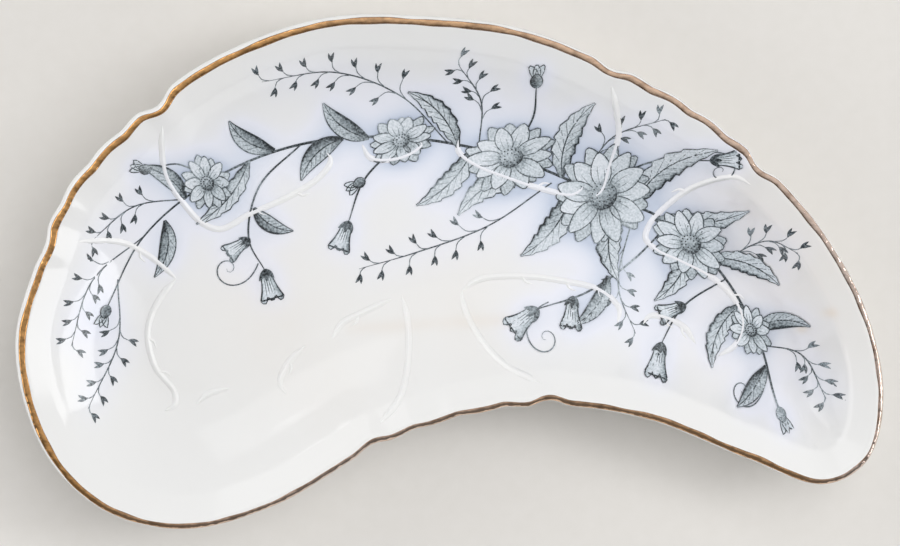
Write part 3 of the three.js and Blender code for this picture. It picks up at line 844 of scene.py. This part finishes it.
def draw_leaf(design, base, tip, bow, width, dark, teeth):
    """A leaf: one half in shade, a midrib, slanting side veins, and an outline heavier on one edge."""
    rows, columns = 41 if teeth else 19, 7
    grid = blade(base, tip, bow, width, 0.85, teeth, rows=rows, columns=columns)
    midline = grid[:, columns // 2]
    design.motif(along_edges(grid))
    t, side = shares(rows, columns)
    shade = dark * np.where(side < 0, 0.78 - 0.4 * t, 0.44 - 0.16 * t) + 0.4 * np.clip(1 - 4 * t, 0, 1)
    shade = shade + 0.6 * np.clip(-3 * side - 2, 0, 1) * np.sin(np.pi * t)
    design.fill(grid, shade)
    design.stroke(midline, PENS["midrib"])
    for share in np.arange(0.16, 0.8, 0.115):
        row, ahead = int(share * rows), min(int((share + 0.15) * rows), rows - 1)
        for edge in (grid[ahead, 0], grid[ahead, -1]):
            bend = (midline[row] + edge) / 2 + 0.08 * (midline[ahead] - midline[row])
            end = 0.12 * midline[ahead] + 0.88 * edge
            design.stroke([midline[row], bend, end], PENS["vein"], LINE_STEP)
    design.stroke(grid[:, 0], PENS["shaded_edge"])
    design.stroke(grid[:, -1], PENS["lit_edge"])


def draw_daisy(design, centre, radius, petals, tilt, squash, seed):
    """A marguerite: two rounds of narrow ray petals about a dotted disc, all seen in an ellipse of the
    given tilt and squash. Petal lengths and angles vary a little from a fixed seed."""
    chance = np.random.default_rng(seed)
    tilt = math.radians(tilt)
    turn = np.stack([unit(tilt), unit(tilt + np.pi / 2)], axis=1)
    view = turn @ np.diag([1, squash]) @ turn.T
    centre = np.asarray(centre, float)
    design.motif(centre + radius * np.array([(-1, -1), (1, 1)]) * 0.72)
    disc = 0.27 * radius
    rows, columns = 12, 7
    t, side = shares(rows, columns)
    for back in (1, 0):
        turns = np.arange(petals) + 0.5 * back + chance.uniform(-0.16, 0.16, petals)
        angles = turns * 2 * np.pi / petals
        lengths = radius * chance.uniform(0.86, 1.0, petals) * (1 if back else 0.94)
        for number, (angle, length) in enumerate(zip(angles, lengths)):
            ray = unit(angle)
            grid = blade(0.6 * disc * ray, length * ray, chance.uniform(-0.05, 0.05),
                         radius * chance.uniform(0.36, 0.42), 0.6, rows=rows, columns=columns)
            grid = grid @ view.T + centre
            wash = (0.36 if back else 0.18) + chance.uniform(-0.07, 0.07)
            shade = wash + 0.5 * np.clip(1 - 2.1 * t, 0, 1)**1.3 + 0.08 * (ray @ PETAL_SHADE_SIDE)
            shade = shade + 0.4 * np.clip(-3 * side - 2, 0, 1) * np.clip(3 * t - 1, 0, 1)
            level = PETAL_STEP * (number % 2 + (number == petals - 1) + (0 if back else 3))
            design.fill(grid, shade, level)
            for column, reach in ((2, 0.5), (4, 0.6)):
                crease = grid[1:int(reach * rows) + 1, column]
                design.stroke(crease, PENS["petal_crease"], level + LINE_STEP, (1, 0.1))
            design.stroke(along_edges(grid), PENS["petal"], level + 2 * LINE_STEP, (0.8, 0.8))
    ring, around = np.linspace(0, 1, 6)[:, None], np.linspace(0, 2 * np.pi, 25)[None]
    shade = 0.5 + 0.42 * (0.5 * np.cos(around + 0.9) * ring + 0.55 * ring**3)
    dome = disc * ring[..., None] * unit(around)
    design.fill(dome @ view.T + centre, shade, 6 * PETAL_STEP)
    spot = np.linspace(0, DOT_RADIUS, 3)[:, None, None] * unit(around[:, ::4])
    for share, dots in ((0.45, 9), (0.8, 17)):
        places = disc * share * unit(np.arange(dots) * 2 * np.pi / dots) @ view.T + centre
        design.fill(places[:, None, None] + spot, 1.0, 6 * PETAL_STEP + 2 * LINE_STEP)


def draw_bell(design, neck, angle, length, width, seed):
    """A bell bloom: its half width grows as a power of the way down, its mouth has three pointed lobes,
    and small sepals clasp its neck."""
    chance = np.random.default_rng(seed)
    rows, columns = 14, 13
    t, side = shares(rows, columns)
    angle = math.radians(angle)
    axis, across = unit(angle), unit(angle + np.pi / 2)
    neck = np.asarray(neck, float)
    half = width / 2 * (0.46 + 0.54 * t**2.4) * np.sqrt(np.clip(t / 0.16, 0, 1))
    lobes = 0.2 * np.abs(np.cos(1.5 * np.pi * side))**0.8 - 0.12 * (1 - side**2)
    down = length * (t + t**5 * lobes)
    grid = neck + down[..., None] * axis + (half * side)[..., None] * across
    design.motif(np.concatenate([along_edges(grid), grid[-1]]))
    shade = 0.08 + 0.42 * np.abs(side + 0.2)**2.2
    shade = shade + 0.3 * np.clip(1 - 2.2 * t, 0, 1) + 0.2 * np.clip(t - 0.82, 0, 1) / 0.18
    design.fill(grid, shade)
    for column in (3, 5, 7, 9):
        design.stroke(grid[2:chance.integers(10, 13), column], PENS["bell_rib"], LINE_STEP, (1, 0.1))
    design.stroke(along_edges(grid), PENS["bell"])
    design.stroke(grid[-1], PENS["bell"])
    for spread in (-0.75, -0.1, 0.6):
        tip = neck + 0.42 * length * unit(angle + spread)
        sepal = blade(neck - 0.25 * axis, tip, 0.05, 0.17 * length, rows=8, columns=5)
        design.fill(sepal, 0.86, 3 * LINE_STEP)


def draw_bud(design, base, angle, length):
    """A daisy bud: a dark cup with a tuft of closed petals."""
    angle = math.radians(angle)
    ray = unit(angle)
    base = np.asarray(base, float)
    design.motif([base, base + ray * length])
    for spread, bow in ((-0.32, 0.06), (0.32, -0.06), (0, 0)):
        tip = base + length * unit(angle + spread)
        petal = blade(base + 0.3 * length * ray, tip, bow, 0.3 * length, 0.7, rows=9, columns=5)
        design.fill(petal, np.linspace(0.55, 0.12, 9)[:, None], 0 if spread else LINE_STEP)
        design.stroke(along_edges(petal), PENS["tuft"])
    top = base + 0.58 * length * ray
    cup = blade(base - 0.05 * length * ray, top, 0, 0.5 * length, 0.6, rows=9, columns=7)
    design.fill(cup, 0.72 + 0.2 * np.linspace(-1, 1, 7)[None], 3 * LINE_STEP)
    design.stroke(along_edges(cup), PENS["cup"], 4 * LINE_STEP)


def draw_grass(design, line, branches, reach, seed):
    """Oat grass: a fine stalk with side hairs that shorten to its tip, each with two husks."""
    chance = np.random.default_rng(seed)
    stalk = even_steps(catmull_rom(line, per_span=20), 60)
    tangent, left = directions(stalk)
    design.motif(stalk)
    design.stroke(stalk, PENS["grass"], taper=(1, 0.3))
    for number, share in enumerate(np.linspace(0.3, 0.97, branches)):
        place = int(share * (len(stalk) - 1))
        root, along = stalk[place], tangent[place]
        across = left[place] * (1 if number % 2 else -1)
        size = reach * (1.15 - 0.65 * share) * chance.uniform(0.8, 1.1)
        end = root + size * (0.72 * along + chance.uniform(0.45, 0.7) * across)
        middle = root + size * (0.5 * along + 0.18 * across)
        hair = even_steps(catmull_rom([root, middle, end], per_span=8), 10)
        design.stroke(hair, PENS["hair"], taper=(1, 0.5))
        tip, away = hair[-1], hair[-1] - hair[-4]
        heading = math.atan2(away[1], away[0])
        for spread in (-0.35, 0.3):
            ray = unit(heading + spread)
            husk = blade(tip - 0.3 * ray, tip + HUSK_LENGTH * ray, 0.06, HUSK_WIDTH, rows=8, columns=5)
            design.fill(husk, 0.84, 2 * LINE_STEP)


def draw_tendril(design, start, angle, size, hand):
    """A curl: steps that shorten steadily as their heading turns, ever faster, one and a half times."""
    t = np.linspace(0, 1, 50)
    heading = math.radians(angle) + hand * 3 * np.pi * t**1.4
    steps = 0.075 * size * (1.15 - t)[:, None] * unit(heading)
    curve = np.asarray(start, float) + np.cumsum(steps, axis=0)
    design.motif(curve)
    design.stroke(curve, PENS["tendril"], taper=(1, 0.3))


def printed_spray():
    """A garland that follows the outer wall from the narrow lobe to the round one, fullest right of the
    middle. The grasses lie lowest and the daisies on top."""
    design = PrintedDesign()
    for grass in GRASSES:
        draw_grass(design, *grass)
    for line, width in STALKS:
        stalk = catmull_rom(line, per_span=16)
        design.motif(stalk)
        design.stroke(stalk, (width, STALK_TONE), taper=(0.8, 0.5))
    for tendril in TENDRILS:
        draw_tendril(design, *tendril)
    for leaf in LEAVES:
        draw_leaf(design, *leaf)
    for seed, bell in enumerate(BELLS):
        draw_bell(design, *bell, seed)
    for bud in BUDS:
        draw_bud(design, *bud)
    for seed, daisy in enumerate(DAISIES):
        draw_daisy(design, *daisy, seed)
    return design


def ink_flow(where, triangles, tone):
    """How much ink has flowed into the glaze around the print: the inked area of each map cell, spread
    by bell curves of different widths."""
    cells = (where[triangles].mean(1) - face.low) / MAP_STEP
    edges = [np.arange(count + 1) - 0.5 for count in face.z.shape]
    ink = np.abs(signed_area(where, triangles)) * tone[triangles].mean(1) / MAP_STEP**2
    inked, _, _ = np.histogram2d(*cells.T, bins=edges, weights=ink)
    waves = [np.fft.fftfreq(count, MAP_STEP) for count in face.z.shape]
    squared = waves[0][:, None]**2 + waves[1][None]**2
    spread = sum(share * np.exp(-2 * (np.pi * width)**2 * squared) for share, width in FLOW_SPREAD)
    return np.clip(np.fft.ifft2(np.fft.fft2(inked) * spread).real, 0, None)


def use_stains(points):
    """Strength of the stains at each point: bell curves of the distance to the spot or streak."""
    strength = np.zeros(len(points))
    for start, end, reach, most in STAINS:
        start, end = placed([start, end])
        along = end - start
        length_squared = along @ along or 1.0
        share = np.clip((points[:, :2] - start) @ along / length_squared, 0, 1)
        apart = points[:, :2] - start - share[:, None] * along
        strength += most * np.exp(-(apart**2).sum(1) / (2 * reach**2))
    return strength


def linear(code):
    """An sRGB hex colour as linear red, green, blue and alpha."""
    srgb = np.array([int(code[k:k + 2], 16) for k in (1, 3, 5)]) / 255
    return (*np.where(srgb <= 0.04045, srgb / 12.92, ((srgb + 0.055) / 1.055)**2.4), 1.0)


def add(tree, kind, inputs=None, stops=(), **settings):
    """Adds a shader node. Settings go on the node itself, each input takes a value or a link from a
    socket, and a colour ramp takes its stops as places and hex colours."""
    made = tree.nodes.new("ShaderNode" + kind)
    for name, value in settings.items():
        setattr(made, name, value)
    for name, value in (inputs or {}).items():
        if isinstance(value, bpy.types.NodeSocket):
            tree.links.new(value, made.inputs[name])
        else:
            made.inputs[name].default_value = value
    for _ in stops[2:]:
        made.color_ramp.elements.new(1.0)
    for number, (position, code) in enumerate(stops):
        made.color_ramp.elements[number].position = position
        made.color_ramp.elements[number].color = linear(code)
    return made


def per_size(millimetres):
    """Scale of a noise whose features are about this large."""
    return 1 / (millimetres * METRES)


def new_material(name):
    """A material whose tree of nodes holds nothing but its Object coordinates."""
    material = bpy.data.materials.new(name)
    material.use_nodes = True
    tree = material.node_tree
    tree.nodes.clear()
    return material, tree, add(tree, "TexCoord").outputs["Object"]


def glaze_material(name, white):
    """Clear lead-type glaze over white earthenware: a glassy gloss, a little uneven from dipping, on a
    white that is blue where ink has flowed in and faintly tea-coloured where use has stained it."""
    material, tree, place = new_material(name)
    flow = add(tree, "Attribute", attribute_name="flow")
    stain = add(tree, "Attribute", attribute_name="stain")
    tinted = add(tree, "ValToRGB", {"Fac": flow.outputs["Fac"]},
                 stops=[(0.0, white), (0.2, "#ECEEF7"), (0.55, "#DDE3F0"), (1.0, "#C6D0E2")])
    clouds = add(tree, "TexNoise", {"Vector": place, "Scale": per_size(16), "Detail": 4.0})
    patches = add(tree, "MapRange", {
        "Value": clouds.outputs[0], "From Min": 0.3, "From Max": 0.7, "To Min": 0.5, "To Max": 1.3,
    })
    stained = add(tree, "Math", {0: stain.outputs["Fac"], 1: patches.outputs[0]}, operation="MULTIPLY")
    colour = add(tree, "Mix", {
        MIX_SHARE: stained.outputs[0], MIX_FROM: tinted.outputs[0], MIX_TO: linear("#E9E0D6"),
    }, data_type="RGBA")
    waves = add(tree, "TexNoise", {"Vector": place, "Scale": per_size(7), "Detail": 1.0})
    uneven = add(tree, "Bump", {"Height": waves.outputs[0], "Strength": 1.0, "Distance": 0.025 * METRES})
    use = add(tree, "TexNoise", {"Vector": place, "Scale": per_size(1.5), "Detail": 3.0})
    dulled = add(tree, "MapRange", {
        "Value": use.outputs[0], "From Min": 0.35, "From Max": 0.75, "To Min": 0.045, "To Max": 0.1,
    })
    shader = add(tree, "BsdfPrincipled", {
        "Base Color": colour.outputs[MIXED], "Roughness": dulled.outputs[0], "IOR": GLAZE_IOR,
        "Normal": uneven.outputs[0],
    })
    add(tree, "OutputMaterial", {"Surface": shader.outputs[0]})
    return material


def ink_material():
    """Grey transfer ink under the same glaze: engraved dots break up its tones, and it is rubbed pale in
    patches. The dots are drawn coarser than the real ones, so that they show."""
    material, tree, place = new_material("grey_transfer_ink_under_glaze")
    tone = add(tree, "Attribute", attribute_name="tone")
    dots = add(tree, "TexNoise", {"Vector": place, "Scale": per_size(0.4), "Detail": 1.0})
    grain = add(tree, "MapRange", {
        "Value": dots.outputs[0], "From Min": 0.3, "From Max": 0.7, "To Min": -0.16, "To Max": 0.16,
    })
    wear = add(tree, "TexNoise", {"Vector": place, "Scale": per_size(11), "Detail": 3.0})
    rubbed = add(tree, "MapRange", {
        "Value": wear.outputs[0], "From Min": 0.52, "From Max": 0.72, "To Min": 1.0, "To Max": 0.55,
    })
    depth = add(tree, "Math", {
        0: tone.outputs["Fac"], 1: rubbed.outputs[0], 2: grain.outputs[0],
    }, operation="MULTIPLY_ADD")
    greys = [(0.0, "#E4E9F0"), (0.3, "#C6CFD6"), (0.6, "#8C969C"), (0.85, "#4A5156"), (1.0, "#2B2F32")]
    colour = add(tree, "ValToRGB", {"Fac": depth.outputs[0]}, stops=greys)
    shader = add(tree, "BsdfPrincipled", {
        "Base Color": colour.outputs[0], "Roughness": 0.06, "IOR": GLAZE_IOR,
    })
    add(tree, "OutputMaterial", {"Surface": shader.outputs[0]})
    return material


def foot_material():
    """Earthenware with its glaze worn off by standing: matt, cream, finely gritty, with grey rubs."""
    material, tree, place = new_material("rubbed_earthenware")
    rubs = add(tree, "TexNoise", {"Vector": place, "Scale": per_size(5), "Detail": 4.0})
    rubbed = add(tree, "MapRange", {"Value": rubs.outputs[0], "From Min": 0.45, "From Max": 0.75})
    colour = add(tree, "Mix", {
        MIX_SHARE: rubbed.outputs[0], MIX_FROM: linear("#E2DBCD"), MIX_TO: linear("#BDB3A4"),
    }, data_type="RGBA")
    grit = add(tree, "TexNoise", {"Vector": place, "Scale": per_size(0.35), "Detail": 2.0})
    rough = add(tree, "Bump", {"Height": grit.outputs[0], "Strength": 1.0, "Distance": 0.03 * METRES})
    shader = add(tree, "BsdfPrincipled", {
        "Base Color": colour.outputs[MIXED], "Roughness": 0.62, "IOR": 1.5, "Normal": rough.outputs[0],
    })
    add(tree, "OutputMaterial", {"Surface": shader.outputs[0]})
    return material


def gold_material():
    """Burnished gold on a thin brush line: a sharp warm shine on an uneven film, with a paler painted
    sheen on the side that faces the right-hand lamps, and painted shade that browns its edges, along with
    patches of wear."""
    material, tree, place = new_material("burnished_gold_line")
    edge = add(tree, "Attribute", attribute_name="edge")
    rubbed = add(tree, "Attribute", attribute_name="rubbed")
    # Painted sheen: the attribute named rubbed pales the gold to a pinkish white on the side facing the
    # right-hand lamps
    gold = add(tree, "Mix", {
        MIX_SHARE: rubbed.outputs["Fac"], MIX_FROM: linear("#F0B878"), MIX_TO: linear("#E6D3C8"),
    }, data_type="RGBA")
    rubbing = add(tree, "TexNoise", {"Vector": place, "Scale": per_size(2.4), "Detail": 3.0})
    worn = add(tree, "MapRange", {
        "Value": rubbing.outputs[0], "From Min": 0.35, "From Max": 0.75, "To Min": -0.38, "To Max": 0.42,
    })
    # Painted shade at the edges of the line, together with real patches of wear, browns the gold
    share = add(tree, "Math", {
        0: edge.outputs["Fac"], 1: worn.outputs[0],
    }, operation="ADD", use_clamp=True)
    colour = add(tree, "Mix", {
        MIX_SHARE: share.outputs[0], MIX_FROM: gold.outputs[MIXED], MIX_TO: linear("#8A6A52"),
    }, data_type="RGBA")
    lumps = add(tree, "TexNoise", {"Vector": place, "Scale": per_size(1.6), "Detail": 1.5})
    uneven = add(tree, "Bump", {"Height": lumps.outputs[0], "Strength": 1.0, "Distance": 0.34 * METRES})
    shader = add(tree, "BsdfPrincipled", {
        "Base Color": colour.outputs[MIXED], "Roughness": 0.14, "Metallic": 1.0,
        "Normal": uneven.outputs[0],
    })
    add(tree, "OutputMaterial", {"Surface": shader.outputs[0]})
    return material


def stage_material():
    """Matt pale card with a faint mottle."""
    material, tree, place = new_material("pale_card")
    mottle = add(tree, "TexNoise", {"Vector": place, "Scale": per_size(3), "Detail": 3.0})
    colour = add(tree, "Mix", {
        MIX_SHARE: mottle.outputs[0], MIX_FROM: linear("#E0DDD8"), MIX_TO: linear("#E5E2DE"),
    }, data_type="RGBA")
    shader = add(tree, "BsdfPrincipled", {"Base Color": colour.outputs[MIXED], "Roughness": 0.9})
    add(tree, "OutputMaterial", {"Surface": shader.outputs[0]})
    return material


def make_stage():
    """A square of floor that reaches far beyond the view."""
    low, high = -STAGE_REACH, STAGE_REACH
    mesh = bpy.data.meshes.new("floor")
    mesh.from_pydata([(low, low, 0), (high, low, 0), (high, high, 0), (low, high, 0)], [], [(0, 1, 2, 3)])
    mesh.materials.append(stage_material())
    floor = bpy.data.objects.new("floor", mesh)
    bpy.context.scene.collection.objects.link(floor)


def toward(azimuth, elevation):
    """Unit vector in a direction given by its azimuth and elevation in radians."""
    return np.array([*(math.cos(elevation) * unit(azimuth)), math.sin(elevation)])


def aim(thing, back, up_hint, place):
    """Links a camera or lamp into the scene at a place in metres, with its back along the unit vector
    back and its top as near to up_hint as it goes."""
    right = np.cross(up_hint, back)
    right /= np.linalg.norm(right)
    axes = np.eye(4)
    axes[:3] = np.column_stack([right, np.cross(back, right), back, place])
    thing.matrix_world = Matrix(axes.tolist())
    bpy.context.scene.collection.objects.link(thing)


def make_camera():
    """A camera above the dish, leaning a little, whose lens gives the wanted pixels per millimetre."""
    lens = bpy.data.cameras.new("camera")
    lens.sensor_fit = "HORIZONTAL"
    lens.sensor_width = SENSOR_WIDTH
    lens.lens = PIXELS_PER_MM * CAMERA_DISTANCE * SENSOR_WIDTH / IMAGE_WIDTH
    camera = bpy.data.objects.new("camera", lens)
    back = toward(CAMERA_TOWARD, math.pi / 2 - CAMERA_LEAN)
    eye = np.array([*CAMERA_AIM, LIP_CREST]) + CAMERA_DISTANCE * back
    aim(camera, back, (0, 1, 0), eye * METRES)
    bpy.context.scene.camera = camera


def make_light(name, azimuth, elevation, distance, size, power, mirrored):
    """A flat softbox that faces the dish, out of sight, and shows in its gloss if mirrored."""
    lamp = bpy.data.lights.new(name, "AREA")
    lamp.shape = "RECTANGLE"
    lamp.size, lamp.size_y = size
    lamp.energy = power
    light = bpy.data.objects.new(name, lamp)
    light.visible_camera = False
    light.visible_glossy = mirrored
    away = toward(math.radians(azimuth), math.radians(elevation))
    aim(light, away, (0, 0, 1), away * distance)


def make_world():
    """A pale room, brighter behind the dish than in front of it. The gloss shows its lit ceiling and
    back wall."""
    world = bpy.data.worlds.new("studio")
    bpy.context.scene.world = world
    world.use_nodes = True
    tree = world.node_tree
    tree.nodes.clear()
    place = add(tree, "TexCoord").outputs["Generated"]
    behind = add(tree, "VectorMath", {0: place, 1: (0, 1, 0)}, operation="DOT_PRODUCT")
    light = add(tree, "MapRange", {
        "Value": behind.outputs["Value"], "From Min": -1.0, "From Max": 1.0,
        "To Min": ROOM_LIGHT[0], "To Max": ROOM_LIGHT[1],
    })
    lit = add(tree, "VectorMath", {0: place, 1: LIT_SIDE}, operation="DOT_PRODUCT")
    shine = add(tree, "MapRange", {
        "Value": lit.outputs["Value"], "From Min": LIT_RANGE[0], "From Max": LIT_RANGE[1],
        "To Min": LIT_LIGHT[0], "To Max": LIT_LIGHT[1],
    })
    mirrored = add(tree, "LightPath").outputs["Is Glossy Ray"]
    strength = add(tree, "Mix", {"Factor": mirrored, "A": light.outputs[0], "B": shine.outputs[0]})
    room = add(tree, "Background", {"Color": linear(ROOM_COLOUR), "Strength": strength.outputs[0]})
    add(tree, "OutputWorld", {"Surface": room.outputs[0]})


make_camera()
make_stage()
make_world()
for lamp in LAMPS:
    make_light(*lamp)

ink_plan, ink_points, ink_triangles, ink_tone = printed_spray().mesh()
flow_map = ink_flow(ink_plan, ink_triangles, ink_tone)
body_points, body_triangles = dish_surface()
under_face = face.read(face.z, body_points[:, :2]) - body_points[:, 2]
upper = np.clip(TINT_DEPTH - under_face, 0, 1)
body_flow = np.clip(face.read(flow_map, body_points[:, :2]), 0, 1)**FLOW_CONTRAST
body_tints = {"flow": upper * body_flow, "stain": upper * use_stains(body_points)}
glaze = glaze_material("clear_glaze_on_white_earthenware", "#EEEEED")
make_piece("glazed_dish", body_points, body_triangles, glaze, "white_glaze", body_tints, ["dish_body"])
scroll_points, scroll_triangles = scroll_relief()
scroll_flow = np.clip(face.read(flow_map, scroll_points[:, :2]), 0, 1)
scroll_tints = {"flow": SCROLL_FLOW * scroll_flow, "stain": SCROLL_STAIN * use_stains(scroll_points)}
# The raised lines get a paler white: partly the thinner glaze that runs off them, partly a painted
# highlight for the light their rounded tops catch
thin_glaze_painted_bright = glaze_material("glaze_thin_and_painted_bright_on_raised_lines", "#F3F3F2")
make_piece("moulded_scrolls", scroll_points, scroll_triangles, thin_glaze_painted_bright, "white_glaze", scroll_tints)
make_piece("printed_spray", ink_points, ink_triangles, ink_material(), "white_glaze", {"tone": ink_tone})
gilt_points, gilt_triangles, gilt_wear = gilt_band()
make_piece("gilt_line", gilt_points, gilt_triangles, gold_material(), "gilding", gilt_wear, ["gilt_rim"])
make_piece("rubbed_foot", *foot_surface(), foot_material(), "foot_ware", replaces=["foot_ring"])

bpy.context.scene.view_settings.view_transform = "Standard"
